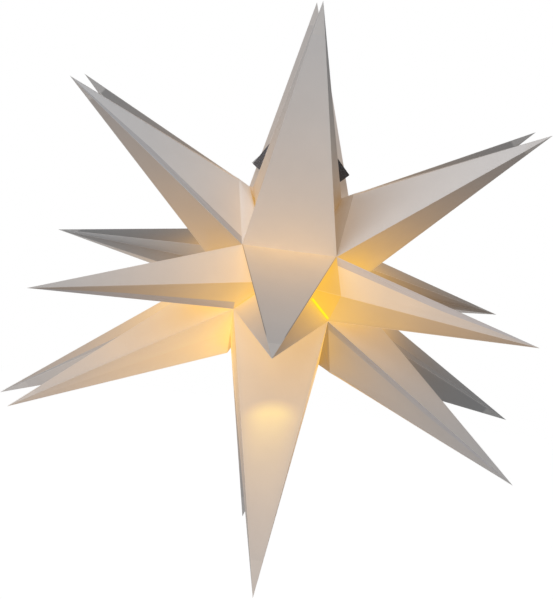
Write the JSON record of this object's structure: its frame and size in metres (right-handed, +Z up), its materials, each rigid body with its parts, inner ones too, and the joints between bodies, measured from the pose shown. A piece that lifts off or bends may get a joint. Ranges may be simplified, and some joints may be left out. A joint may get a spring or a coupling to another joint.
{
  "type": "moravian star pendant",
  "caption": "Hanging folded-sheet star lantern with long hollow spikes, hook-and-loop closure at the top seam, cable gland, lampholder and globe lamp inside.",
  "frame": {"origin": "centre of the cable entry at the top of the cable gland", "axes": "+Z up along the cable, X along the fold axis of the star (left to right in the picture), -Y to the front"},
  "size_m": [0.47, 0.6, 0.5032],
  "materials": {
    "star_sheet": "satin translucent polypropylene sheet, lit warm from inside",
    "tongue_sheet": "satin white polypropylene sheet",
    "loop_pile": "short brushed loops",
    "hook_tape": "woven tape with stiff hooks",
    "black_nylon": "fine moulded texture",
    "black_rubber": "matt",
    "zinc_steel": "zinc plated",
    "contact_brass": "pressed sheet",
    "porcelain": "glazed insulating insert",
    "black_glass": "glossy insulator",
    "nickel_shell": "nickel plated thread",
    "lamp_white": "moulded white",
    "opal_globe": "opal diffuser, lit"
  },
  "bodies": {
    "shade": {"spike_front_left": "star_sheet", "spike_front_middle": "star_sheet", "spike_front_right": "star_sheet", "spike_top_front_left": "star_sheet", "spike_top_front_middle": "star_sheet", "spike_top_front_right": "star_sheet", "spike_top_rear_left": "star_sheet", "spike_top_rear_middle": "star_sheet", "spike_top_rear_right": "star_sheet", "spike_rear_left": "star_sheet", "spike_rear_middle": "star_sheet", "spike_rear_right": "star_sheet", "spike_bottom_rear_left": "star_sheet", "spike_bottom_rear_middle": "star_sheet", "spike_bottom_rear_right": "star_sheet", "spike_bottom_front_left": "star_sheet", "spike_bottom_front_middle": "star_sheet", "spike_bottom_front_right": "star_sheet", "closure_ply_front_left": "tongue_sheet", "closure_loop_pad_left": "loop_pile", "closure_ply_front_right": "tongue_sheet", "closure_loop_pad_right": "loop_pile", "gland_dome_nut": "black_nylon", "gland_body": "black_nylon", "gland_locknut": "black_nylon", "gland_seal": "black_rubber", "gland_washer": "zinc_steel", "gland_saddle": "black_rubber", "holder_cap": "black_nylon", "holder_body": "black_nylon", "holder_clamp_ring": "black_nylon", "holder_insert": "porcelain", "holder_centre_contact": "contact_brass", "holder_screw_shell": "contact_brass", "holder_terminal_screws": "zinc_steel"},
    "closure_flap_left": {"closure_ply_rear_left": "tongue_sheet", "closure_hook_pad_left": "hook_tape"},
    "closure_flap_right": {"closure_ply_rear_right": "tongue_sheet", "closure_hook_pad_right": "hook_tape"},
    "lamp": {"lamp_tip_contact": "zinc_steel", "lamp_insulator": "black_glass", "lamp_screw_cap": "nickel_shell", "lamp_collar": "lamp_white", "lamp_globe": "opal_globe", "lamp_board": "lamp_white"}
  },
  "joints": [
    {"name": "closure_peel_left", "type": "hinge", "parent": "shade", "child": "closure_flap_left", "pos_m": [-0.0225, 0.00175, -0.0288], "axis": [-1, 0, 0], "range_deg": [0, 35], "stiffness_Nm_per_rad": 0.003},
    {"name": "closure_peel_right", "type": "hinge", "parent": "shade", "child": "closure_flap_right", "pos_m": [0.0225, 0.00175, -0.0288], "axis": [-1, 0, 0], "range_deg": [0, 35], "stiffness_Nm_per_rad": 0.003},
    {"name": "lamp_turn", "type": "hinge", "parent": "shade", "child": "lamp", "pos_m": [0, 0, -0.09], "axis": [0, 0, -1], "range_deg": [0, 1260]}
  ]
}
